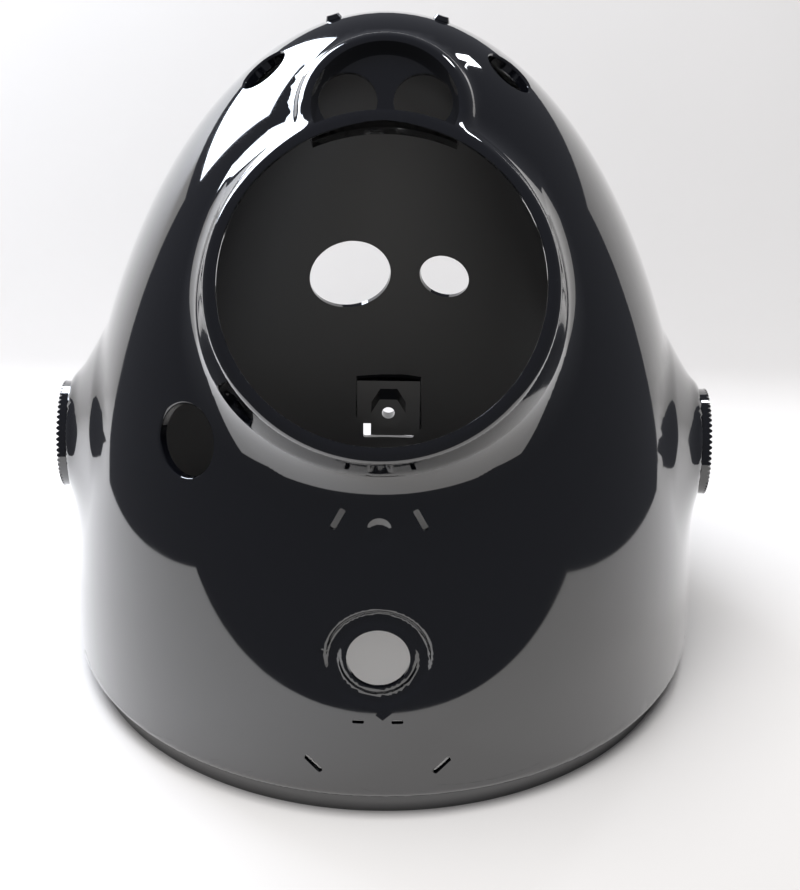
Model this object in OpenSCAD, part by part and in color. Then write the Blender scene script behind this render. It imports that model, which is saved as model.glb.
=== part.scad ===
// Headlight bucket: a deep drawn steel lamp shell that stands on its open rim.
// Millimetres, +Z up. The origin is on the shell's axis in the plane of the rim's edge.
// -Y is the speedometer side, which is the top of the lamp when it is mounted.

/* [Shell] */
// Outer diameter of the shell at its lip
rim_d = 180; // [160:1:220]
// Height of the half ellipse that the shell is drawn to
dome_h = 180; // [160:1:210]
// Thickness of the pressed sheet
sheet = 1.4; // [1.0:0.1:2.0]
// How far the seat for the lamp rim is stepped in from the lip
seat_step = 3.7; // [3.2:0.1:6]
// Height of that seat
seat_h = 6.5; // [4:0.5:12]
// Outside radius of the bends at the seat
bend_r = 2.2; // [1.6:0.1:2.8]

/* [Speedometer collar] */
// Clear diameter of the speedometer opening
speedo_d = 79; // [70:0.5:84]
// Tilt of the opening's axis above the horizontal
speedo_tilt = 37; // [32:1:42]
// Distance of the opening's centre in front of the shell's skin at that height
speedo_proud = 2.5; // [2:0.1:3.5]
// Distance of the opening's centre below the top of the shell
speedo_down = 46.6; // [44:0.2:49]
// Width of the lip that is turned in round the opening
speedo_lip = 3.2; // [2.4:0.1:4]
// Draft of the collar's wall at the front
draft_front = 26; // [20:1:30]
// Draft of the collar's wall at the rear
draft_rear = 2; // [0:1:4]

/* [Cable pocket] */
// Clear diameter of the round pocket behind the collar
pocket_d = 36.2; // [32:0.2:38]
// Distance of the pocket's centre from the opening's centre, along the lip's plane
pocket_up = 45.7; // [44:0.1:47]
// Depth of the pocket's floor below the plane of the opening
pocket_depth = 14.4; // [13:0.2:16]
// Width of the bead round the pocket
bead_w = 2.6; // [2:0.1:3.2]
// Height of that bead above the shell
bead_h = 2.4; // [1:0.1:3]
// Diameter of the two cable holes in the pocket's floor
cable_d = 14.8; // [12:0.2:15]
// Width of the web between them
cable_web = 4; // [3:0.1:4.4]

/* [Switch seat] */
// Diameter of the switch hole
switch_d = 16; // [12:0.5:18]
// Height of the switch hole's centre
switch_z = 48.4; // [44:0.2:54]
// Diameter of the recess round it
switch_ring_d = 27; // [24:0.5:30]
// Depth of that recess
switch_ring_depth = 1.6; // [1.3:0.1:2]
// Width of the raised edge round the hole
switch_edge_w = 1.6; // [1:0.1:2.2]
// Height of that edge above the recess
switch_edge_h = 0.8; // [0.4:0.1:1]

/* [Small pressings] */
// Diameter of the blind dimple
dimple_d = 9; // [6:0.5:11]
// Height of the dimple's centre
dimple_z = 81.6; // [77:0.2:83]
// Depth of the dimple
dimple_depth = 1.4; // [0.8:0.1:2]
// Length of the tab slots
slot_l = 6; // [4:0.5:8]
// Width of the tab slots
slot_w = 1.5; // [1:0.1:2]
// Length of the two short slots below the switch
dash_l = 3; // [2:0.5:4]
// Width of the two short slots
dash_w = 1; // [0.8:0.1:1.4]

/* [Round holes] */
// Diameter of the hole beside the collar
side_hole_d = 18.5; // [14:0.5:22]
// Height of that hole's centre
side_hole_z = 95.5; // [92:0.5:99]
// Its angle round the shell from the front
side_hole_angle = 39; // [36:1:44]
// Diameter of the two shoulder holes
shoulder_d = 13; // [10:0.5:15]
// Distance of their centres below the top of the shell
shoulder_down = 12; // [10.5:0.5:14]
// Their angle round the shell from the front
shoulder_angle = 78; // [72:1:90]
// How far the edges of these holes are turned in
turn_in = 3.2; // [2:0.1:4]
// Diameter of the large hole in the underside
harness_d = 26; // [20:0.5:28]
// Diameter of the small hole in the underside
drain_d = 16; // [10:0.5:18]
// Height of both holes' centres
under_z = 82; // [76:0.5:90]
// Angle of the large hole from the middle of the underside
harness_angle = 9; // [9:0.5:11]
// Angle of the small hole from the middle of the underside
drain_angle = 12.7; // [12:0.1:15]

/* [Side bosses] */
// Height of the bosses' axis
boss_z = 65; // [60:0.5:72]
// How far a boss's flat face stands out of the shell's skin
boss_proud = 3.5; // [3:0.1:5]
// Diameter of a boss's flat face
boss_d = 33; // [30:0.5:34]
// Radius of the hollow curve below the face
flare_r = 12; // [9:0.5:14]
// Slope of the flare next to the face
flare_start = 55; // [50:1:60]
// Slope of the flare where it runs into the skin
flare_end = 30; // [28:1:34]
// Diameter of a serrated disc
disc_d = 30; // [26:0.5:31]
// Thickness of a serrated disc
disc_t = 2.7; // [2:0.1:3.5]
// Number of teeth on a disc
teeth = 60; // [36:1:64]
// Depth of the teeth
tooth_h = 0.8; // [0.4:0.1:1]
// Length of the teeth, inward from the disc's edge
tooth_l = 4.5; // [3:0.1:5]
// Outer diameter of the side bolt's thread
bolt_d = 8; // [6:1:10]
// Width across the flats of the nut behind a boss
nut_af = 13; // [12:1:17]
// Thickness of that nut
nut_t = 6.5; // [5:0.5:8]

/* [Rim catch] */
// Width of the window in the underside near the rim
window_w = 17; // [14:0.5:20]
// Height of the window
window_h = 21; // [18:0.5:24]
// Height of the window's lower edge
window_z = 18; // [16:0.5:22]
// Thickness of the catch plate
catch_t = 1.5; // [1:0.1:2]
// How far the plate laps over the sides of the window
catch_lap = 2; // [1.5:0.1:3]
// Width of the open gap under the plate
catch_gap = 2.6; // [1.5:0.1:4]
// Width of the nut on the plate
catch_nut_af = 10; // [8:0.5:11]
// Diameter of its thread
catch_bolt_d = 5; // [4:1:6]

/* [Rear rivets] */
// Diameter of a rivet's shank
rivet_d = 2.4; // [2:0.2:3]
// Distance between the two rivets
rivet_pitch = 28; // [26:0.5:32]
// How far the rivets are behind the shell's axis
rivet_y = 8; // [4:0.5:12]
// Height of a rivet's head
rivet_head_h = 1.2; // [0.8:0.1:1.6]
// Diameter of a rivet's head
rivet_head_d = 4.4; // [3.8:0.1:5]

/* [Hidden] */
$fn = 72;
rim_r = rim_d / 2;
seat_r = rim_r - seat_step;
shell_top = seat_h + dome_h;
speedo_z = shell_top - speedo_down;
speedo_y = shell_r(speedo_z) + speedo_proud;
shoulder_z = shell_top - shoulder_down;
boss_face = shell_r(boss_z) + boss_proud;
// Long enough to cut right through any wall
through = 40;
// Pieces that would meet face to face start this far inside each other's carrier
overlap = 0.5;
// Number of steps in the shell's half ellipse, and in a small bend
dome_steps = 30;
bend_steps = 5;
// Length of the flare's cone, which ends inside the shell
flare_tail = 24;
// Clearance of a bolt in its plain hole
bolt_clear = 0.4;
// Share of a thread's outer diameter that is left as its bore
thread_bore = 0.85;
enamel = "#101114";
steel = "#8a8c8e";

// Radius of the shell's outside at height z, and the tilt of its outward normal there
function shell_r(z) = rim_r * sqrt(1 - pow((z - seat_h) / dome_h, 2));
function shell_tilt(z) = atan2((z - seat_h) / pow(dome_h, 2), shell_r(z) / pow(rim_r, 2));

// Points of a circular arc about c, from angle a to angle b
function arc(c, r, a, b, steps) =
    [for (i = [0:steps]) c + r * [cos(a + (b - a) * i / steps), sin(a + (b - a) * i / steps)]];

// The quarter ellipse of the shell, grown or shrunk by an offset
function dome_points(grow) = [for (i = [0:dome_steps])
    let (a = 90 * i / dome_steps) [(rim_r + grow) * cos(a), seat_h + (dome_h + grow) * sin(a)]];

// Full solid inside the shell's outer skin, down to the rim
module shell_outside() {
    rotate_extrude()
        polygon(concat(
            [[0, 0], [seat_r, 0], [seat_r, seat_h]],
            arc([rim_r - bend_r, seat_h + bend_r], bend_r, -90, 0, bend_steps),
            [for (p = dome_points(0)) if (p[1] > seat_h + bend_r) [max(p[0], 0), p[1]]]));
}

// Full solid inside the shell's inner skin, open past the rim
module shell_inside() {
    r = seat_r - sheet;
    corner = bend_r - sheet;
    rotate_extrude()
        polygon(concat(
            [[0, -through], [r, -through], [r, seat_h + sheet]],
            arc([rim_r - bend_r, seat_h + bend_r], corner, -90, 0, bend_steps),
            [for (p = dome_points(-sheet)) if (p[1] > seat_h + bend_r) [max(p[0], 0), p[1]]]));
}

// The dome alone, grown by the bead's height, to trim what follows its surface
module shell_grown(grow) {
    rotate_extrude()
        polygon(concat([[0, seat_h]], [for (p = dome_points(grow)) [max(p[0], 0), p[1]]]));
}

// Puts children on the shell's skin at an angle from the front and a height, +Z outward and +Y up the wall
module on_shell(angle, z) {
    rotate([0, 0, angle])
        translate([0, -shell_r(z), z])
            rotate([90 - shell_tilt(z), 0, 0])
                children();
}

// Speedometer collar. Its own frame has the lip's plane at z = 0 and +Y towards the rear.
collar_r = speedo_d / 2 + speedo_lip;
collar_round = 2.6;
// Depth to which the collar's cones reach inside the shell
collar_reach = 30;

module in_collar() {
    translate([0, -speedo_y, speedo_z])
        rotate([90 - speedo_tilt, 0, 0])
            children();
}

// A cone with its own axis leaned forward, so that its front has more draft than its rear
module leaned_cone(r) {
    half = (draft_front + draft_rear) / 2;
    lean = (draft_front - draft_rear) / 2;
    apex_h = 2 * r / (tan(draft_front) + tan(draft_rear));
    apex_y = r + apex_h * -tan(draft_rear);
    long = (apex_h + collar_reach) / cos(lean);
    translate([0, apex_y, apex_h])
        rotate([-lean, 0, 0])
            mirror([0, 0, 1])
                cylinder(h = long, r1 = 0, r2 = long * tan(half));
}

module collar_outside() {
    intersection() {
        leaned_cone(collar_r);
        rotate_extrude()
            polygon(concat(
                [[0, -collar_reach], [2 * collar_r, -collar_reach], [2 * collar_r, -collar_round]],
                [[collar_r + 1, -collar_round]],
                arc([collar_r - collar_round, -collar_round], collar_round, 0, 90, bend_steps),
                [[0, 0]]));
    }
}

module collar_inside() {
    intersection() {
        leaned_cone(collar_r - sheet);
        translate([0, 0, -through - sheet])
            cylinder(h = through, r = 2 * collar_r);
    }
}

// Cable pocket, in the collar's frame
pocket_r = pocket_d / 2;
cable_x = (cable_d + cable_web) / 2;
// Metal left between a cable hole and the collar's rear wall
cable_clear = 0.3;
cable_y = sqrt(pow(collar_r + pocket_depth * tan(draft_rear), 2) - pow(cable_x, 2)) + cable_d / 2 + cable_clear;

module pocket_bead() {
    translate([0, pocket_up, -pocket_depth - sheet])
        cylinder(h = through, r = pocket_r + bead_w);
}

module pocket_cup() {
    translate([0, pocket_up, -pocket_depth - sheet])
        cylinder(h = pocket_depth + sheet, r = pocket_r + sheet);
}

module pocket_hollow() {
    difference() {
        translate([0, pocket_up, -pocket_depth])
            cylinder(h = through, r = pocket_r);
        collar_outside();
    }
}

module cable_holes() {
    for (side = [-1, 1])
        translate([side * cable_x, cable_y, -pocket_depth - through / 2])
            cylinder(h = through / 2 + overlap, d = cable_d);
}

// Side boss on the +X side: a flared pad drawn out of the wall. The offset is zero outside, the sheet inside.
module boss_form(inset) {
    face = boss_face - inset;
    reach = flare_r + inset;
    flare_c = [boss_d / 2, boss_face] + flare_r * [sin(flare_start), cos(flare_start)];
    first = 180 + asin((flare_c[1] - face) / reach);
    last = 270 - flare_end;
    foot = flare_c + reach * [cos(last), sin(last)];
    tail = foot + flare_tail * [cos(flare_end), -sin(flare_end)];
    translate([0, 0, boss_z])
        rotate([0, 90, 0])
            rotate_extrude()
                polygon(concat([[0, tail[1]], [0, face]], arc(flare_c, reach, first, last, bend_steps), [tail]));
}

module both_sides() {
    for (side = [0, 1])
        mirror([side, 0, 0])
            children();
}

// A round hole whose edge is turned in, with a small bevel outside
module turned_edge(d) {
    translate([0, 0, -turn_in])
        cylinder(h = turn_in - sheet / 2, d = d + 2 * sheet);
}

module turned_hole(d) {
    bevel = 0.6;
    translate([0, 0, -through / 2])
        cylinder(h = through, d = d);
    translate([0, 0, -bevel])
        cylinder(h = 2 * bevel, d1 = d, d2 = d + 4 * bevel);
}

module switch_backing() {
    translate([0, 0, -switch_ring_depth - sheet])
        cylinder(h = switch_ring_depth + sheet / 2, d = switch_ring_d + 2 * sheet);
}

module switch_recess() {
    difference() {
        translate([0, 0, -switch_ring_depth])
            cylinder(h = through, d = switch_ring_d);
        translate([0, 0, -switch_ring_depth - sheet])
            cylinder(h = sheet + switch_edge_h, d = switch_d + 2 * switch_edge_w);
    }
}

module dimple_backing() {
    translate([0, 0, -dimple_depth - sheet])
        cylinder(h = dimple_depth + sheet / 2, d = dimple_d + 2 * sheet);
}

module dimple_hollow() {
    translate([0, 0, -dimple_depth])
        cylinder(h = through, d1 = dimple_d - 2 * dimple_depth, d2 = dimple_d - 2 * dimple_depth + 2 * through);
}

// Tab slots: angle from the front, height of the centre, and lean of the slot from upright
tab_slots = [[7.2, 85, 27], [10.6, 16.8, -45]];

module slot(l, w) {
    cube([w, l, through / 2], center = true);
}

module small_slots() {
    for (s = tab_slots)
        for (side = [-1, 1])
            on_shell(side * s[0], s[1])
                rotate([0, 0, side * s[2]])
                    slot(slot_l, slot_w);
    for (side = [-1, 1])
        on_shell(side * 3.2, switch_z - switch_ring_d / 2 - 4.2)
            slot(dash_w, dash_l);
}

module underside_holes() {
    on_shell(180 + harness_angle, under_z)
        translate([0, 0, -through / 2])
            cylinder(h = through, d = harness_d);
    on_shell(180 - drain_angle, under_z)
        translate([0, 0, -through / 2])
            cylinder(h = through, d = drain_d);
    translate([-window_w / 2, rim_r - through / 2, window_z])
        cube([window_w, through, window_h]);
}

module bucket_shell() {
    color(enamel)
        difference() {
            union() {
                difference() {
                    union() {
                        shell_outside();
                        in_collar() collar_outside();
                        intersection() {
                            in_collar() pocket_bead();
                            shell_grown(bead_h);
                        }
                        both_sides() boss_form(0);
                    }
                    shell_inside();
                    in_collar() collar_inside();
                    both_sides() boss_form(sheet);
                }
                difference() {
                    intersection() {
                        in_collar() pocket_cup();
                        shell_outside();
                    }
                    in_collar() collar_inside();
                }
                intersection() {
                    union() {
                        on_shell(0, switch_z) switch_backing();
                        on_shell(0, dimple_z) dimple_backing();
                        on_shell(-side_hole_angle, side_hole_z) turned_edge(side_hole_d);
                        for (side = [-1, 1])
                            on_shell(side * shoulder_angle, shoulder_z) turned_edge(shoulder_d);
                    }
                    shell_outside();
                }
            }
            in_collar() {
                pocket_hollow();
                cable_holes();
                translate([0, 0, -through / 2])
                    cylinder(h = through, d = speedo_d);
            }
            on_shell(0, switch_z) {
                switch_recess();
                translate([0, 0, -through / 2])
                    cylinder(h = through, d = switch_d);
            }
            on_shell(0, dimple_z) dimple_hollow();
            on_shell(-side_hole_angle, side_hole_z) turned_hole(side_hole_d);
            for (side = [-1, 1])
                on_shell(side * shoulder_angle, shoulder_z) turned_hole(shoulder_d);
            small_slots();
            underside_holes();
            both_sides()
                translate([0, 0, boss_z])
                    rotate([0, 90, 0])
                        cylinder(h = boss_face + sheet, d = bolt_d + bolt_clear);
            for (side = [-1, 1])
                at_rivet(side)
                    translate([0, 0, -through / 2])
                        cylinder(h = through, d = rivet_d);
        }
}

// Serrated disc on the +X boss, with radial teeth struck into its outer face
module serrated_disc() {
    tooth_in = disc_d / 2 - tooth_l;
    pitch = 2 * PI * tooth_in / teeth;
    translate([boss_face, 0, boss_z])
        rotate([0, 90, 0])
            difference() {
                cylinder(h = disc_t, d = disc_d);
                translate([0, 0, -overlap])
                    cylinder(h = disc_t + 2 * overlap, d = bolt_d + bolt_clear);
                for (i = [0:teeth - 1])
                    rotate([0, 0, 360 * i / teeth])
                        translate([tooth_in, 0, disc_t])
                            rotate([90, 0, 90])
                                linear_extrude(height = disc_d)
                                    polygon([[-pitch / 2, overlap], [-pitch / 2, 0], [0, -tooth_h],
                                        [pitch / 2, 0], [pitch / 2, overlap]]);
            }
}

// Hexagon nut with its face on z = 0
module hex_nut(af, t, thread) {
    difference() {
        cylinder(h = t, d = af / cos(30), $fn = 6);
        translate([0, 0, -overlap])
            cylinder(h = t + 2 * overlap, d = thread * thread_bore);
    }
}

module bolt_nut() {
    translate([boss_face - sheet - nut_t, 0, boss_z])
        rotate([0, 90, 0])
            hex_nut(nut_af, nut_t, bolt_d);
}

module left_serrated_disc() {
    color(enamel) mirror([1, 0, 0]) serrated_disc();
}

module right_serrated_disc() {
    color(enamel) serrated_disc();
}

module left_bolt_nut() {
    color(steel) mirror([1, 0, 0]) bolt_nut();
}

module right_bolt_nut() {
    color(steel) bolt_nut();
}

// Catch plate inside the window. Its side edges meet the shell's inner skin.
catch_w = window_w + 2 * catch_lap;
catch_top = window_z + window_h + catch_lap;
catch_y = sqrt(pow(shell_r(catch_top) - sheet, 2) - pow(catch_w / 2, 2));
catch_nut_z = window_z + window_h / 2 + catch_gap;
catch_nut_t = 4;

module rim_catch_bracket() {
    tongue_x = window_w / 2 - catch_gap;
    shoulder_h = window_z + window_h / 3;
    color(enamel)
        translate([0, catch_y, 0])
            rotate([90, 0, 0])
                difference() {
                    linear_extrude(height = catch_t)
                        polygon([[-catch_w / 2, shoulder_h], [-tongue_x, shoulder_h],
                            [-tongue_x, window_z + catch_gap], [catch_w / 2, window_z + catch_gap],
                            [catch_w / 2, catch_top], [-catch_w / 2, catch_top]]);
                    translate([0, catch_nut_z, -overlap])
                        cylinder(h = catch_t + 2 * overlap, d = catch_bolt_d + bolt_clear);
                }
}

module rim_catch_nut() {
    color(steel)
        translate([0, catch_y - catch_t, catch_nut_z])
            rotate([90, 0, 0])
                hex_nut(catch_nut_af, catch_nut_t, catch_bolt_d);
}

// Rivet through the sheet behind the pocket, in a frame with +Z outward
rivet_angle = 90 + atan2(rivet_y, rivet_pitch / 2);
rivet_z = seat_h + dome_h * sqrt(1 - (pow(rivet_y, 2) + pow(rivet_pitch / 2, 2)) / pow(rim_r, 2));

module at_rivet(side) {
    on_shell(side * rivet_angle, rivet_z) children();
}

module rivet() {
    top_d = rivet_head_d - rivet_head_h;
    translate([0, 0, -sheet - rivet_head_h])
        cylinder(h = sheet + 2 * rivet_head_h - overlap, d = rivet_d);
    cylinder(h = rivet_head_h, d1 = rivet_head_d, d2 = top_d);
    translate([0, 0, -sheet - rivet_head_h])
        cylinder(h = rivet_head_h, d1 = top_d, d2 = rivet_head_d);
}

module left_rear_rivet() {
    color(enamel) at_rivet(-1) rivet();
}

module right_rear_rivet() {
    color(enamel) at_rivet(1) rivet();
}

bucket_shell();
left_serrated_disc();
right_serrated_disc();
left_bolt_nut();
right_bolt_nut();
rim_catch_bracket();
rim_catch_nut();
left_rear_rivet();
right_rear_rivet();
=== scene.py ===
"""Looks of a headlight bucket: a deep drawn steel shell in gloss black stove enamel, on its open rim."""

import math

import bmesh
import bpy
import numpy as np
from mathutils import Matrix, Vector


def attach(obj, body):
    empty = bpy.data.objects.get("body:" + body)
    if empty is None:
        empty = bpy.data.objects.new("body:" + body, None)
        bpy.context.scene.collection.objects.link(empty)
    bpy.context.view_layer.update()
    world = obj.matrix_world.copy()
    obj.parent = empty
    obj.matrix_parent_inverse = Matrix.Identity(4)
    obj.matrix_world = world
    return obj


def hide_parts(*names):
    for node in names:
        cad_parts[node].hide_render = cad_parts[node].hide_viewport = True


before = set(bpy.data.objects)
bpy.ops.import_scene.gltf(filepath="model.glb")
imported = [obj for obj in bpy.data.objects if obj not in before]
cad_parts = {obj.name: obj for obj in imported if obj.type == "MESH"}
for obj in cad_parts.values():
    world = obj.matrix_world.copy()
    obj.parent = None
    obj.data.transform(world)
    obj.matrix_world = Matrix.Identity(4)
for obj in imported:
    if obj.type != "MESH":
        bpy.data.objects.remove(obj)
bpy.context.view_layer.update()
MM = 0.001
X, Y, Z = np.eye(3)

# Sizes of the pressing in mm, in the frame of the solids
RIM_R = 90.0
DOME_H = 180.0
SHEET = 1.4
SEAT_R = 86.3
SEAT_H = 6.5
SEAT_REACH = 40.0
BEND_R = 2.2
LIP_FILLET = 0.9
SKIRT = 8.0

# Speedometer collar: its centre, its outward axis, and the direction along its plane towards the rear
TILT = math.radians(37.0)
COLLAR_C = np.array([0.0, -62.925, 139.9])
COLLAR_N = np.array([0.0, -math.cos(TILT), math.sin(TILT)])
COLLAR_V = np.array([0.0, math.sin(TILT), math.cos(TILT)])
COLLAR = (COLLAR_C, X, COLLAR_V, COLLAR_N)
SPEEDO_R = 39.5
SPEEDO_ROLL = 0.5
COLLAR_R = SPEEDO_R + 3.2
COLLAR_ROUND = 2.6
COLLAR_REACH = 30.0
COLLAR_DEPTH = 60.0
DRAFT_REAR = math.radians(2.0)
DRAFT_LIP = math.radians(12.0)
DRAFT_FRONT = math.radians(26.0)
WALL_HEIGHT = 17.0

# Fillet between collar and dome: its radius, its least radius, and the most that a turn between them counts
COLLAR_FILLET = 20.0
LEAST_FILLET = 2.4
MOST_APART = 0.35

# Cable pocket behind the collar, with its bead
POCKET_R = 18.1
POCKET_UP = 45.7
POCKET_DEPTH = 14.4
POCKET_REACH = 50.0
POCKET = (COLLAR_C + POCKET_UP * COLLAR_V, X, COLLAR_V, COLLAR_N)
BEAD_TUBE = 1.9
BEAD_OVERLAP = 0.35
BEAD_UP = 0.5
BEAD_DOWN = 0.3
BEAD_FILLET = 2.4
CABLE_R = 7.4
CABLE_X = 9.4
CABLE_UP = 4.17

# Side bosses: flat face, hollow flare round it, and the reach over which both run out into the dome
BOSS_Z = 65.0
BOSS_FACE = 88.614
BOSS_R = 16.5
BOSS_ROUND = 0.7
BOSS_SIDE = 40.0
BOSS_OUT = 44.0
BOSS_FADE = 8.0
FLARE_R = 12.0
FLARE_START = math.radians(55.0)
FLARE_END = math.radians(30.0)
FLARE_REACH = 17.0
FLARE_RISE = 1.4
FLARE_MELT = 0.6
FLARE_OUT = 40.0
FLARE_FADE = 10.0
BOLT_R = 4.2
BOLT_FROM = 60.0

# Holes with a rolled edge: angle from the front, height, radius, roll, depth of the turned-in edge
SWITCH = (0.0, 48.4, 8.0, 0.7, 0.0)
SIDE_HOLE = (-39.0, 95.5, 9.25, 1.2, 3.2)
SHOULDERS = [(-78.0, 174.5, 6.5, 1.2, 3.2), (78.0, 174.5, 6.5, 1.2, 3.2)]
TURNED_IN = (SIDE_HOLE, *SHOULDERS)
ROLL_END = 75.0
ROLL_RUN = 3.0

# Plain holes low on the underside: angle from the front, height, radius
UNDER_HOLES = [(189.0, 82.0, 13.0), (167.3, 82.0, 8.0)]

# Soft pressings: depth, radius, and width of the slope at the edge
SWITCH_SEAT = (1.6, 14.2, 2.2)
SWITCH_RING = (0.9, 10.6, 1.8)
DIMPLE = (1.4, 4.8, 3.4)
DIMPLE_AT = (0.0, 81.6)
FRONT_WALL = 12.0

# Tab slots: angle from the front, height, lean. The dashes: angle, height
TAB_SLOTS = [(7.2, 85.0, 27.0), (10.6, 16.8, -45.0)]
DASH_AT = (3.2, 30.7)

# Width, height and corner radius of a tab slot, of a dash, and of the rim catch's window
TAB_SLOT = (1.5, 6.0, 0.5)
DASH = (3.0, 1.0, 0.4)
WINDOW = (17.0, 21.0, 0.8)
WINDOW_Z = 18.0
SLOT_REACH = 9.0

# Rivets on the crown, behind the pocket
RIVET_PITCH = 28.0
RIVET_Y = 8.0
RIVET_R = 1.2
RIVET_ANGLE = 90 + math.degrees(math.atan2(RIVET_Y, RIVET_PITCH / 2))
RIVET_Z = SEAT_H + DOME_H * math.sqrt(1 - (RIVET_Y**2 + (RIVET_PITCH / 2) ** 2) / RIM_R**2)

# Cutters reach well past the sheet, and have these numbers of sides
REACH = 24.0
HOLE_STEPS = 96
POCKET_STEPS = 128
SMALL_STEPS = 64
BOLT_STEPS = 48
RIVET_STEPS = 24

# Longest edges of the skin's mesh, on the plain dome and where it bends. The cavity's mesh is coarser
EDGE_DOME = 4.0
EDGE_BOSS = 1.7
EDGE_COLLAR = 1.5
EDGE_RIM = 1.1
EDGE_PRESSING = 0.9
EDGE_WALL = 0.8
EDGE_BEAD = 0.7
CAVITY_COARSE = 2.2

# The skin is looked for from here, between the nearest and the farthest place where it can be
CENTRE = np.array([0.0, -8.0, 82.0])
NEAREST = 40.0
FARTHEST = 170.0

# Faces this near to a skin, and turned this much its way, take their normals from it
SHARP_ANGLE = math.radians(32)
NEAR_OUTER = 0.3
NEAR_INNER = 0.25
FACING = 0.8

TINY = 1e-6


def shell_r(z):
    return RIM_R * math.sqrt(1 - ((z - SEAT_H) / DOME_H) ** 2)


def skin_frame(angle, z):
    """A point on the dome with its side, up and outward directions there."""
    r = shell_r(z)
    tilt = math.atan2((z - SEAT_H) / DOME_H**2, r / RIM_R**2)
    a = math.radians(angle)
    turn = np.array([[math.cos(a), -math.sin(a), 0], [math.sin(a), math.cos(a), 0], [0, 0, 1.0]])
    up = [0, math.sin(tilt), math.cos(tilt)]
    out = [0, -math.cos(tilt), math.sin(tilt)]
    return turn @ [0, -r, z], turn @ X, turn @ up, turn @ out


def in_frame(p, f):
    d = p - f[0]
    return d @ f[1], d @ f[2], d @ f[3]


def round_axis(p, f):
    """Distance from a frame's axis, height along it, and the direction back to it."""
    x, v, w = in_frame(p, f)
    rho = np.maximum(np.hypot(x, v), TINY)
    return rho, w, -(x[:, None] * f[1] + v[:, None] * f[2]) / rho[:, None]


SWITCH_FRAME = skin_frame(*SWITCH[:2])
DIMPLE_FRAME = skin_frame(*DIMPLE_AT)


# Fields: negative inside the metal's outer skin, in mm
def meet(a, b, r):
    """Both solids at once, with a rounded edge."""
    return np.minimum(np.maximum(a, b), -r) + np.hypot(np.maximum(a + r, 0), np.maximum(b + r, 0))


def join(a, b, r):
    """Either solid, with a round fillet between them."""
    return np.maximum(np.minimum(a, b), r) - np.hypot(np.maximum(r - a, 0), np.maximum(r - b, 0))


def smooth(t):
    t = np.clip(t, 0, 1)
    return t * t * (3 - 2 * t)


def unit(v):
    return v / np.maximum(np.linalg.norm(v, axis=1, keepdims=True), 1e-9)


def blend(a, na, b, nb, r):
    """Either solid, with a fillet that shrinks where their skins run alongside each other."""
    apart = np.clip(1 - np.einsum("ij,ij->i", na, nb), 0, MOST_APART)
    return join(a, b, np.maximum(r * apart, LEAST_FILLET))


def dome_field(p):
    """The dome's depth and its outward direction."""
    r = np.hypot(p[:, 0], p[:, 1])
    z = p[:, 2] - SEAT_H
    q = np.sqrt((r / RIM_R) ** 2 + (z / DOME_H) ** 2)
    depth = (q - 1) * q / np.maximum(np.sqrt((r / RIM_R**2) ** 2 + (z / DOME_H**2) ** 2), 1e-9)
    return depth, unit(np.stack([p[:, 0] / RIM_R**2, p[:, 1] / RIM_R**2, z / DOME_H**2], axis=1))


def collar_wall_r(w, cos_front):
    """Radius and draft of the collar's wall, which runs out hollow towards its foot at the front."""
    front = (1 + cos_front) / 2
    draft = DRAFT_REAR + (DRAFT_LIP - DRAFT_REAR) * front
    rest = (math.tan(DRAFT_FRONT) - math.tan(DRAFT_LIP)) * front
    t = np.clip(-w / WALL_HEIGHT, 0, 1)
    below = np.maximum(-w - WALL_HEIGHT, 0)
    radius = COLLAR_R - w * np.tan(draft) + rest * (WALL_HEIGHT * t * t / 2 + below)
    return radius, np.arctan(np.tan(draft) + rest * t)


def collar_field(p):
    """The collar's depth and its outward direction."""
    x, v, w = in_frame(p, COLLAR)
    rho = np.maximum(np.hypot(x, v), TINY)
    wall, draft = collar_wall_r(w, -v / rho)
    across = x[:, None] * COLLAR[1] + v[:, None] * COLLAR[2]
    out = across * (np.cos(draft) / rho)[:, None] + np.sin(draft)[:, None] * COLLAR[3]
    return np.maximum(meet((rho - wall) * np.cos(draft), w, COLLAR_ROUND), -COLLAR_DEPTH - w), out


def dome_x(y, z):
    """How far out the dome lies at a place on its side, held off zero near its outline."""
    return RIM_R * np.sqrt(np.maximum(1 - ((z - SEAT_H) / DOME_H) ** 2 - (y / RIM_R) ** 2, 0.05))


def boss_field(p, depth, out):
    """The dome's depth, raised near the side bosses to their flat faces and hollow flares."""
    a, y, z = np.abs(p[:, 0]), p[:, 1], p[:, 2]
    rho = np.hypot(y, z - BOSS_Z)
    pull = BOSS_R / np.maximum(rho, 1e-3)
    at_edge = dome_x(y * pull, BOSS_Z + (z - BOSS_Z) * pull)
    soft = (BOSS_FACE - at_edge) * np.clip(1 - (rho - BOSS_R) / FLARE_REACH, 0, FLARE_RISE) ** 2
    dr = rho - BOSS_R - FLARE_R * math.sin(FLARE_START)
    foot = -FLARE_R * math.sin(FLARE_END)
    round_part = np.sqrt(np.maximum(FLARE_R**2 - np.minimum(dr, foot) ** 2, 0))
    hollow = -round_part - np.maximum(dr - foot, 0) * math.tan(FLARE_END)
    here = dome_x(y, z)
    cone = BOSS_FACE + FLARE_R * math.cos(FLARE_START) + hollow - here
    lift = (soft + cone + np.sqrt((soft - cone) ** 2 + FLARE_MELT)) / 2
    lift = soft + (lift - soft) * smooth((FLARE_OUT - rho) / FLARE_FADE)
    raised = meet((a - here - lift) * np.abs(out[:, 0]), a - BOSS_FACE, BOSS_ROUND)
    near = smooth((BOSS_OUT - rho) / BOSS_FADE) * (a > BOSS_SIDE) * (rho < FLARE_OUT)
    return depth + near * (raised - depth)


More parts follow.
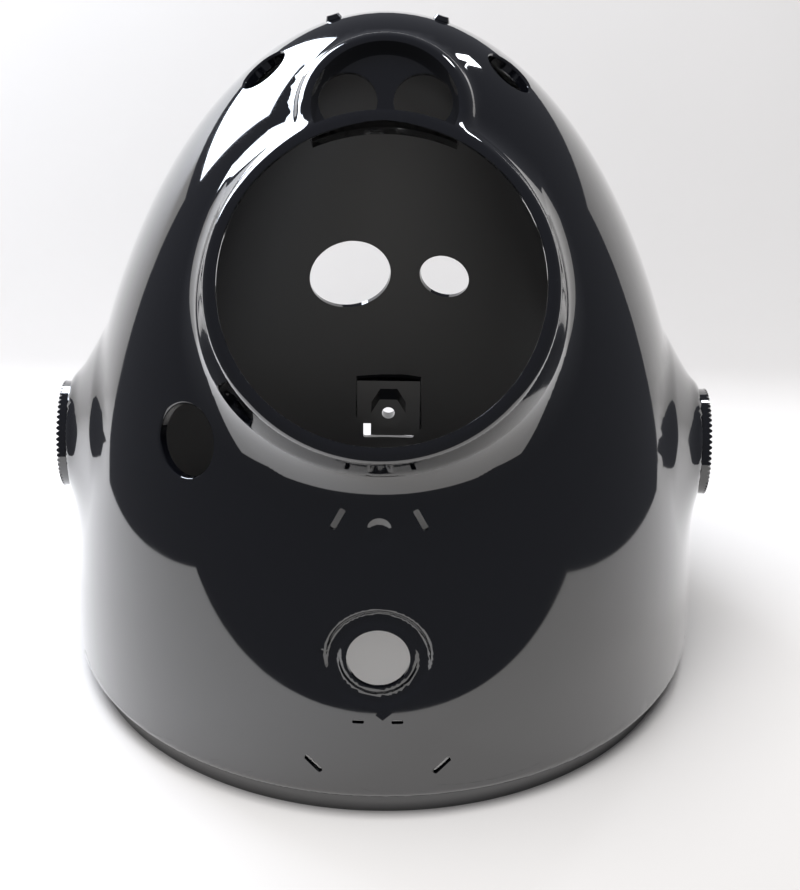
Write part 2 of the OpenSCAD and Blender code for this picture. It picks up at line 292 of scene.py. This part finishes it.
def bead_field(p, dome):
    """The round bead that runs round the pocket on the dome's skin."""
    x, v, w = in_frame(p, POCKET)
    ring = np.hypot(x, v) - POCKET_R - BEAD_TUBE + BEAD_OVERLAP
    bead = np.maximum(np.hypot(ring, dome - BEAD_UP) - BEAD_TUBE, w + BEAD_DOWN)
    return np.where(w > -POCKET_REACH, bead, RIM_R)


def dip(rho, depth, radius, slope):
    return depth * smooth((radius - rho) / slope)


def pressings(p):
    """Depth of the soft pressings at a point of the front wall."""
    x, v, w = in_frame(p, SWITCH_FRAME)
    rho, near = np.hypot(x, v), np.abs(w) < FRONT_WALL
    depth = dip(rho, *SWITCH_SEAT) - dip(rho, *SWITCH_RING)
    x, v, w = in_frame(p, DIMPLE_FRAME)
    return np.where(near, depth + dip(np.hypot(x, v), *DIMPLE), 0)


def skin_field(p):
    """The whole outer skin of the pressing. The inner skin is where it is one sheet deep."""
    dome, out = dome_field(p)
    body = meet(boss_field(p, dome, out), SEAT_H - p[:, 2], BEND_R)
    body = blend(body, out, *collar_field(p), COLLAR_FILLET)
    body = join(body, bead_field(p, dome), BEAD_FILLET)
    seat = np.maximum(np.hypot(p[:, 0], p[:, 1]) - SEAT_R, p[:, 2] - SEAT_REACH)
    body = join(body, np.maximum(seat, -SKIRT - p[:, 2]), LIP_FILLET)
    return body + pressings(p)


def skin_normal(p, e=0.02):
    """Direction in which the skin's field rises fastest."""
    return unit(np.stack([skin_field(p + e * d) - skin_field(p - e * d) for d in (X, Y, Z)], axis=1))


def cast_out(directions, level):
    """Points where rays from the middle cross the skin, by halving first and false position at the end."""
    lo, hi = np.full(len(directions), NEAREST), np.full(len(directions), FARTHEST)
    for _ in range(12):
        mid = (lo + hi) / 2
        inside = skin_field(CENTRE + directions * mid[:, None]) < level
        lo, hi = np.where(inside, mid, lo), np.where(inside, hi, mid)
    f_lo, f_hi = (skin_field(CENTRE + directions * t[:, None]) - level for t in (lo, hi))
    for _ in range(4):
        mid = lo - f_lo * (hi - lo) / np.where(f_hi - f_lo == 0, 1, f_hi - f_lo)
        f_mid = skin_field(CENTRE + directions * mid[:, None]) - level
        inside = f_mid < 0
        lo, f_lo = np.where(inside, mid, lo), np.where(inside, f_mid, f_lo)
        hi, f_hi = np.where(inside, hi, mid), np.where(inside, f_hi, f_mid)
    return CENTRE + directions * mid[:, None]


def wanted_edge(p, coarse):
    """Longest edge that the skin's mesh may have at a point. Each place that bends has its reach in mm."""
    x, v, w = in_frame(p, COLLAR)
    rho = np.hypot(x, v)
    off_wall = np.abs(rho - collar_wall_r(w, -v / np.maximum(rho, TINY))[0])
    bends = [((rho < 62) & (w > -26), EDGE_COLLAR), ((off_wall < 3.5) & (w > -24) & (w < 2), EDGE_WALL)]
    x, v, w = in_frame(p, POCKET)
    bends.append(((np.abs(np.hypot(x, v) - POCKET_R - 1.6) < 3.2) & (w > -14), EDGE_BEAD))
    bends.append(((np.abs(p[:, 0]) > 70) & (np.hypot(p[:, 1], p[:, 2] - BOSS_Z) < 36), EDGE_BOSS))
    bends.append((p[:, 2] < 11, EDGE_RIM))
    for f, reach in ((SWITCH_FRAME, 16), (DIMPLE_FRAME, 6)):
        x, v, w = in_frame(p, f)
        bends.append(((np.hypot(x, v) < reach) & (np.abs(w) < FRONT_WALL), EDGE_PRESSING))
    size = np.full(len(p), EDGE_DOME)
    for place, edge in bends:
        size[place] = np.minimum(size[place], edge)
    return size * coarse


def skin_mesh(name, level, coarse, passes):
    """A closed mesh of the skin at a level, finer where it bends."""
    bm = bmesh.new()
    bmesh.ops.create_icosphere(bm, subdivisions=5, radius=1)
    for step in range(passes + 1):
        bm.verts.ensure_lookup_table()
        d = np.array([v.co for v in bm.verts])
        if step > 0:
            d = d / MM - CENTRE
        d /= np.linalg.norm(d, axis=1, keepdims=True)
        p = cast_out(d, level)
        for v, q in zip(bm.verts, p):
            v.co = q * MM
        if step == passes:
            break
        bm.verts.index_update()
        ends = np.array([[e.verts[0].index, e.verts[1].index] for e in bm.edges])
        length = np.linalg.norm(p[ends[:, 0]] - p[ends[:, 1]], axis=1)
        too_long = length > 1.5 * wanted_edge((p[ends[:, 0]] + p[ends[:, 1]]) / 2, coarse)
        edges = [e for e, split in zip(bm.edges, too_long) if split]
        if not edges:
            break
        bmesh.ops.subdivide_edges(bm, edges=edges, cuts=1, use_grid_fill=False)
        bmesh.ops.triangulate(bm, faces=bm.faces[:], quad_method="SHORT_EDGE")
    return finish_mesh(bm, name)


# Mesh tools
def link(name, data):
    o = bpy.data.objects.new(name, data)
    bpy.context.scene.collection.objects.link(o)
    return o


def finish_mesh(bm, name):
    """Turns a closed mesh's faces outwards and puts it in the scene."""
    bmesh.ops.recalc_face_normals(bm, faces=bm.faces[:])
    mesh = bpy.data.meshes.new(name)
    bm.to_mesh(mesh)
    bm.free()
    return link(name, mesh)


def discard(o):
    mesh = o.data
    bpy.data.objects.remove(o)
    bpy.data.meshes.remove(mesh)


def settle(o):
    """Replaces an object's mesh by what its modifiers give."""
    bpy.context.view_layer.update()
    old = o.data
    o.data = bpy.data.meshes.new_from_object(o.evaluated_get(bpy.context.evaluated_depsgraph_get()))
    o.modifiers.clear()
    bpy.data.meshes.remove(old)


def combine(target, tool, how):
    """Adds, removes or keeps the common part of two closed meshes."""
    m = target.modifiers.new("combine", "BOOLEAN")
    m.operation, m.solver, m.object = how, "MANIFOLD", tool
    settle(target)


def cut(target, tool):
    combine(target, tool, "DIFFERENCE")
    discard(tool)


def turned(name, f, profile, steps):
    """A closed mesh turned round a frame's outward axis from (radius, height) points, with both ends on it.
    A profile may be a function of the cosine of the angle from the front."""
    bm = bmesh.new()
    rings = []
    for i in range(steps):
        a = 2 * math.pi * i / steps
        points = profile(-math.sin(a)) if callable(profile) else profile
        side = math.cos(a) * f[1] + math.sin(a) * f[2]
        rings.append([f[0] + side * r + f[3] * w for r, w in points])
    first, last = (bm.verts.new(rings[0][k] * MM) for k in (0, -1))
    grid = [[bm.verts.new(q * MM) for q in ring[1:-1]] for ring in rings]
    for a, b in zip(grid, grid[1:] + grid[:1]):
        bm.faces.new((first, a[0], b[0]))
        bm.faces.new((last, b[-1], a[-1]))
        for k in range(len(a) - 1):
            bm.faces.new((a[k], a[k + 1], b[k + 1], b[k]))
    return finish_mesh(bm, name)


def plug(name, f, r, low, high, steps):
    """A closed round bar along a frame's outward axis."""
    return turned(name, f, [(0, low), (r, low), (r, high), (0, high)], steps)


def slab(name, f, outline, low, high):
    """A closed prism with an outline in a frame's side and up directions."""
    bm = bmesh.new()
    rows = []
    for w in (low, high):
        rows.append([bm.verts.new((f[0] + f[1] * x + f[2] * y + f[3] * w) * MM) for x, y in outline])
    bm.faces.new(rows[0][::-1])
    bm.faces.new(rows[1])
    for i in range(len(outline)):
        j = (i + 1) % len(outline)
        bm.faces.new((rows[0][i], rows[0][j], rows[1][j], rows[1][i]))
    return finish_mesh(bm, name)


def arc(cx, cy, r, a, b, steps):
    """Points on an arc from one angle to another."""
    turns = [math.radians(a + (b - a) * i / steps) for i in range(steps + 1)]
    return [(cx + r * math.cos(t), cy + r * math.sin(t)) for t in turns]


def rounded_outline(w, h, r, steps, lean=0.0):
    """A rectangle with rounded corners, leaned by an angle."""
    points, a = [], math.radians(lean)
    for k, (sx, sy) in enumerate(((1, 1), (-1, 1), (-1, -1), (1, -1))):
        for i in range(steps + 1):
            t = math.pi / 2 * (k + i / steps)
            x, y = sx * (w / 2 - r) + r * math.cos(t), sy * (h / 2 - r) + r * math.sin(t)
            points.append((x * math.cos(a) - y * math.sin(a), x * math.sin(a) + y * math.cos(a)))
    return points


# The bucket itself
def sagitta(r):
    """How far the dome falls away, on average, across a round hole."""
    return r * r / (4 * RIM_R)


def rolled_hole(name, f, r, roll, drop=0.0):
    """A cutter for a round hole with an edge rolled inward, which starts a drop below the plane."""
    curve = arc(r + roll, -drop - roll, roll, 180, 180 - ROLL_END, 8)
    wide = curve[-1][0] + ROLL_RUN
    rise = curve[-1][1] + ROLL_RUN * math.tan(math.radians(90 - ROLL_END))
    profile = [(0, -REACH), (r, -REACH), *curve, (wide, rise), (wide, REACH), (0, REACH)]
    return turned(name, f, profile, HOLE_STEPS)


def collar_space(less):
    """Profile of what the collar's wall encloses, less a thickness, at each angle round it."""
    def profile(cos_front):
        wall = [(collar_wall_r(w, cos_front)[0] - less, w) for w in (-COLLAR_REACH, -20, -10, 0)]
        return [(0, -COLLAR_REACH), *wall, (wall[-1][0], 12), (0, 12)]
    return profile


def pocket_cup():
    """The pocket's cup stands between the skin and the collar's inner wall."""
    cup = plug("cup", POCKET, POCKET_R + SHEET, -POCKET_DEPTH - SHEET, 4, HOLE_STEPS)
    cut(cup, turned("collar_inside", COLLAR, collar_space(SHEET), HOLE_STEPS))
    return cup


def small_cuts():
    """Frames and outlines of the tab slots, the two dashes and the rim catch's window."""
    cuts = []
    for side in (-1, 1):
        for angle, z, lean in TAB_SLOTS:
            cuts.append((skin_frame(side * angle, z), rounded_outline(*TAB_SLOT, 3, side * lean)))
        cuts.append((skin_frame(side * DASH_AT[0], DASH_AT[1]), rounded_outline(*DASH, 3)))
    window = (np.array([0, RIM_R - 4, WINDOW_Z + WINDOW[1] / 2]), X, Z, Y)
    cuts.append((window, rounded_outline(*WINDOW, 4)))
    return cuts


def cutters():
    """What is cut out of the pressing, one closed mesh after another."""
    hollow = plug("hollow", POCKET, POCKET_R, -POCKET_DEPTH, REACH, POCKET_STEPS)
    cut(hollow, turned("collar_outside", COLLAR, collar_space(0), POCKET_STEPS))
    yield hollow
    for side in (-1, 1):
        at = POCKET[0] + side * CABLE_X * POCKET[1] + CABLE_UP * POCKET[2] - POCKET_DEPTH * POCKET[3]
        yield plug("cable_hole", (at, *POCKET[1:]), CABLE_R, -8, 0.3, SMALL_STEPS)
    for angle, z, r, roll, _ in (SWITCH, *TURNED_IN):
        yield rolled_hole("hole", skin_frame(angle, z), r, roll, sagitta(r + roll))
    for angle, z, r in UNDER_HOLES:
        yield plug("hole", skin_frame(angle, z), r, -REACH, REACH, HOLE_STEPS)
    yield rolled_hole("speedometer_hole", COLLAR, SPEEDO_R, SPEEDO_ROLL)
    for f, outline in small_cuts():
        yield slab("slot", f, outline, -SLOT_REACH, SLOT_REACH)
    for side in (-1, 1):
        bolt = (np.array([side * BOLT_FROM, 0, BOSS_Z]), Y, Z, side * X)
        yield plug("bolt_hole", bolt, BOLT_R, 0, 50, BOLT_STEPS)
        yield plug("rivet_hole", skin_frame(side * RIVET_ANGLE, RIVET_Z), RIVET_R, -5, 5, RIVET_STEPS)
    ground = [(-120, -120), (120, -120), (120, 120), (-120, 120)]
    yield slab("below", (np.zeros(3), X, Y, Z), ground, -60, 0)


def build_shell():
    """The skin less its cavity, with the pocket's cup and the turned-in edges added, then all the cuts."""
    shell = skin_mesh("enamelled_bucket", 0.0, 1.0, 5)
    whole = link("whole", shell.data.copy())
    cut(shell, skin_mesh("cavity", -SHEET, CAVITY_COARSE, 3))
    added = [pocket_cup()]
    for angle, z, r, _, depth in TURNED_IN:
        added.append(plug("tube", skin_frame(angle, z), r + SHEET, -depth, 3, SMALL_STEPS))
    for piece in added:
        combine(piece, whole, "INTERSECT")
        combine(shell, piece, "UNION")
        discard(piece)
    discard(whole)
    for tool in cutters():
        cut(shell, tool)
    return shell


def read(items, key, width=1, kind=float):
    """One property of all the points, corners or faces of a mesh."""
    values = np.empty(len(items) * width, kind)
    items.foreach_get(key, values)
    return values.reshape(-1, width) if width > 1 else values


def shade_shell(o):
    """Normals from the skin's own field, so that reflections run as smoothly as on a pressing."""
    mesh = o.data
    mesh.shade_smooth()
    mesh.set_sharp_from_angle(angle=SHARP_ANGLE)
    normals = read(mesh.corner_normals, "vector", 3)
    verts = read(mesh.vertices, "co", 3) / MM
    corner = read(mesh.loops, "vertex_index", kind=np.int32)
    totals = read(mesh.polygons, "loop_total", kind=np.int32)
    face_n = read(mesh.polygons, "normal", 3)
    centres = read(mesh.polygons, "center", 3) / MM
    face_of = np.repeat(np.arange(len(totals)), totals)

    at_centre = skin_field(centres)
    facing = np.einsum("ij,ij->i", skin_normal(centres), face_n)
    outer = (np.abs(at_centre) < NEAR_OUTER) & (facing > FACING)
    inner = (np.abs(at_centre + SHEET) < NEAR_INNER) & (facing < -FACING)
    skin_n = skin_normal(verts)
    for mask, sign in ((outer, 1), (inner, -1)):
        loops = mask[face_of]
        normals[loops] = sign * skin_n[corner[loops]]

    # on a rolled edge the normal turns from the skin's own to the one that looks at the hole's axis
    holes = [(skin_frame(angle, z), r, roll) for angle, z, r, roll, _ in (SWITCH, *TURNED_IN)]
    for f, r, roll in [*holes, (COLLAR, SPEEDO_R, SPEEDO_ROLL)]:
        rho, w, inward = round_axis(centres, f)
        near = (rho > r - 0.1) & (rho < r + roll + 3.2) & (w > -4.2) & (w < 3)
        on_wall = ~outer & ~inner & near & (np.einsum("ij,ij->i", inward, face_n) > 0.05)
        loops = np.nonzero(on_wall[face_of])[0]
        rho, _, inward = round_axis(verts[corner[loops]], f)
        t = np.clip((r + roll - rho) / roll, 0, 1)[:, None]
        normals[loops] = unit(inward * t + skin_n[corner[loops]] * np.sqrt(1 - t * t))
    mesh.normals_split_custom_set(normals.astype(np.float32).tolist())


# Materials. A Mix node of two colours has them and its result at these places among its sockets
TONE_A, TONE_B, TONE = 6, 7, 2


def linear(code):
    """A six-figure sRGB colour as linear RGBA."""
    parts = [int(code[i:i + 2], 16) / 255 for i in (1, 3, 5)]
    return (*[c / 12.92 if c <= 0.04045 else ((c + 0.055) / 1.055) ** 2.4 for c in parts], 1.0)


def node(tree, kind, inputs=None, **settings):
    """Adds a node. An input may be a value or another node's output."""
    n = tree.nodes.new("ShaderNode" + kind)
    for key, value in settings.items():
        setattr(n, key, value)
    for key, value in (inputs or {}).items():
        if isinstance(value, bpy.types.NodeSocket):
            tree.links.new(value, n.inputs[key])
        else:
            n.inputs[key].default_value = value
    return n


def new_material(name, finish):
    """A material of one shader, with inputs that a finish works out from the place on the object."""
    m = bpy.data.materials.new(name)
    m.use_nodes = True
    tree = m.node_tree
    tree.nodes.clear()
    where = node(tree, "TexCoord").outputs["Object"]
    shader = node(tree, "BsdfPrincipled", finish(tree, where))
    node(tree, "OutputMaterial", {"Surface": shader.outputs["BSDF"]})
    return m


def enamel(tree, where):
    """Gloss black stove enamel on pressed steel: deep clear black, faint orange peel, a little dust."""
    peel = node(tree, "TexNoise", {"Vector": where, "Scale": 1 / (9 * MM), "Detail": 1.5, "Roughness": 0.45})
    sag = node(tree, "TexNoise", {"Vector": where, "Scale": 1 / (46 * MM), "Detail": 1.0})
    dust = node(tree, "TexNoise", {"Vector": where, "Scale": 1 / (0.9 * MM), "Detail": 2.0})
    haze = node(tree, "TexNoise", {"Vector": where, "Scale": 1 / (24 * MM), "Detail": 4.0, "Roughness": 0.6})
    speck = node(tree, "MapRange", {"Value": dust.outputs["Fac"], "From Min": 0.70, "From Max": 0.76})
    tones = {"Factor": speck.outputs["Result"], TONE_A: linear("#0c0d12"), TONE_B: linear("#1f2126")}
    dull = {"From Min": 0.3, "From Max": 0.75, "To Min": 0.035, "To Max": 0.085}
    wave = node(tree, "Math", {0: peel.outputs["Fac"], 1: sag.outputs["Fac"]}, operation="ADD")
    bump = node(tree, "Bump", {"Height": wave.outputs[0], "Strength": 0.05, "Distance": 0.25 * MM})
    return {
        "Base Color": node(tree, "Mix", tones, data_type="RGBA").outputs[TONE],
        "Roughness": node(tree, "MapRange", {"Value": haze.outputs["Fac"], **dull}).outputs["Result"],
        "IOR": 1.75,
        "Coat Weight": 1.0,
        "Coat Roughness": 0.03,
        "Coat IOR": 1.55,
        "Normal": bump.outputs["Normal"],
    }


def zinc(tree, where):
    """Dull zinc plate on the nuts, with greyer patches."""
    patches = node(tree, "TexNoise", {"Vector": where, "Scale": 1 / (3 * MM), "Detail": 4.0}).outputs["Fac"]
    tones = {"Factor": patches, TONE_A: linear("#77797a"), TONE_B: linear("#a3a49f")}
    dull = {"Value": patches, "From Min": 0.3, "From Max": 0.7, "To Min": 0.38, "To Max": 0.55}
    return {
        "Base Color": node(tree, "Mix", tones, data_type="RGBA").outputs[TONE],
        "Metallic": 1.0,
        "Roughness": node(tree, "MapRange", dull).outputs["Result"],
    }


def paper(tree, where):
    """Matt white card, with a tone that wanders a little."""
    tone = node(tree, "TexNoise", {"Vector": where, "Scale": 1 / (140 * MM), "Detail": 3.0}).outputs["Fac"]
    tones = {"Factor": tone, TONE_A: linear("#e4e3e2"), TONE_B: linear("#eceaea")}
    return {"Base Color": node(tree, "Mix", tones, data_type="RGBA").outputs[TONE], "Roughness": 0.85}


def clear_from_behind(m):
    """The card's back is clear to the camera, so that the object can be looked at from behind."""
    tree = m.node_tree
    end = next(n for n in tree.nodes if n.type == "OUTPUT_MATERIAL").inputs["Surface"]
    back = node(tree, "NewGeometry").outputs["Backfacing"]
    eye = node(tree, "LightPath").outputs["Is Camera Ray"]
    clear = node(tree, "Math", {0: back, 1: eye}, operation="MULTIPLY").outputs[0]
    surfaces = {0: clear, 1: end.links[0].from_socket, 2: node(tree, "BsdfTransparent").outputs[0]}
    tree.links.new(node(tree, "MixShader", surfaces).outputs[0], end)


def set_material(o, m):
    o.data.materials.clear()
    o.data.materials.append(m)


# Stage
def card(m):
    """White card that lies under the object, ends close in front of it and curves up behind it."""
    half, front, back, bend, lean, top = 250.0, -152.0, 115.0, 30.0, 70.0, 195.0
    widens_from, widens_by = 60.0, 0.85
    curve = [(front, 0.0), (widens_from, 0.0), *arc(back, bend, bend, -90, lean - 90, 10)]
    foot_y, foot_z = curve[-1]
    curve.append((foot_y + (top - foot_z) / math.tan(math.radians(lean)), top))
    corners = []
    for y, z in curve:
        wide = half + widens_by * max(y - widens_from, 0)
        corners += [Vector((x, y, z)) * MM for x in (-wide, wide)]
    mesh = bpy.data.meshes.new("white_card")
    mesh.from_pydata(corners, [], [(k, k + 1, k + 3, k + 2) for k in range(0, len(corners) - 2, 2)])
    mesh.shade_smooth()
    o = link("white_card", mesh)
    set_material(o, m)


def light(name, at, aim, size, watts, colour, seen=True):
    """A flat light that looks at a point. One that isn't seen stays out of the object's gloss."""
    data = bpy.data.lights.new(name, "AREA")
    data.shape, data.size, data.size_y = "RECTANGLE", size[0] * MM, size[1] * MM
    data.energy, data.color = watts, linear(colour)[:3]
    o = link(name, data)
    o.location = Vector(at) * MM
    o.rotation_euler = (Vector(aim) - Vector(at)).to_track_quat("-Z", "Y").to_euler()
    o.visible_glossy = seen


def room():
    """A dim room, pale to the camera, with two windows behind and soft light from above."""
    world = bpy.context.scene.world or bpy.data.worlds.new("room")
    bpy.context.scene.world = world
    world.use_nodes = True
    tree = world.node_tree
    tree.nodes.clear()
    # the room's dim walls show in the gloss and light the object only a little
    path = node(tree, "LightPath").outputs
    walls = node(tree, "MapRange", {"Value": path["Is Glossy Ray"], "To Min": 0.12, "To Max": 0.34})
    pale = {0: path["Is Camera Ray"], 1: 2.6, 2: walls.outputs["Result"]}
    strength = node(tree, "Math", pale, operation="MULTIPLY_ADD").outputs[0]
    ground = node(tree, "Background", {"Color": linear("#8a8c94"), "Strength": strength})
    node(tree, "OutputWorld", {"Surface": ground.outputs[0]})
    light("window", (-215, 200, 300), (-35, -7, 172), (230, 170), 1.3, "#eaf2ff")
    light("small_window", (155, 195, 361), (20, -14, 180), (34, 45), 0.1, "#f4f8ff")
    light("ceiling", (-120, -300, 1250), (0, 0, 60), (1100, 1000), 22.0, "#fefdfc", seen=False)


# Camera, from the picture's own geometry
FOCUS_PX = 1850.42
PICTURE = (800, 890)
DISTANCE = 563.285
ELEVATION, AZIMUTH, ROLL = (math.radians(a) for a in (33.858, 0.834, 0.359))
ORIGIN_PX = (383.354, 626.352)
SENSOR = 36.0


def camera():
    """Looks so that the middle of the rim falls on its place in the picture."""
    data = bpy.data.cameras.new("camera")
    data.sensor_fit, data.sensor_width = "HORIZONTAL", SENSOR
    data.lens = FOCUS_PX * SENSOR / PICTURE[0]
    data.clip_start, data.clip_end = 0.02, 20
    o = link("camera", data)
    level = np.array([math.cos(AZIMUTH), math.sin(AZIMUTH), 0])
    away = np.array([math.sin(AZIMUTH), -math.cos(AZIMUTH), 0])
    at = DISTANCE * (away * math.cos(ELEVATION) + Z * math.sin(ELEVATION))
    ahead = -at / DISTANCE
    right = level * math.cos(ROLL) + np.cross(level, ahead) * math.sin(ROLL)
    up = np.cross(right, ahead)
    aside = (ORIGIN_PX[0] - PICTURE[0] / 2) / FOCUS_PX
    above = (ORIGIN_PX[1] - PICTURE[1] / 2) / FOCUS_PX
    ahead = ahead - aside * right + above * up
    ahead /= np.linalg.norm(ahead)
    right = right - ahead * (right @ ahead)
    right /= np.linalg.norm(right)
    axes = np.stack([right, np.cross(right, ahead), -ahead], axis=1)
    o.matrix_world = Matrix([(*row, place * MM) for row, place in zip(axes, at)] + [(0, 0, 0, 1)])
    bpy.context.scene.camera = o


stove_enamel = new_material("stove_enamel_black", enamel)
zinc_plate = new_material("zinc_plated_steel", zinc)
white_card = new_material("white_card", paper)
clear_from_behind(white_card)

bucket = build_shell()
shade_shell(bucket)
set_material(bucket, stove_enamel)
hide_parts("bucket_shell")
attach(bucket, "root")
for name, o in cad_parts.items():
    if name != "bucket_shell":
        set_material(o, zinc_plate if name.endswith("bolt_nut") else stove_enamel)

card(white_card)
room()
camera()
bpy.context.scene.view_settings.view_transform = "Standard"
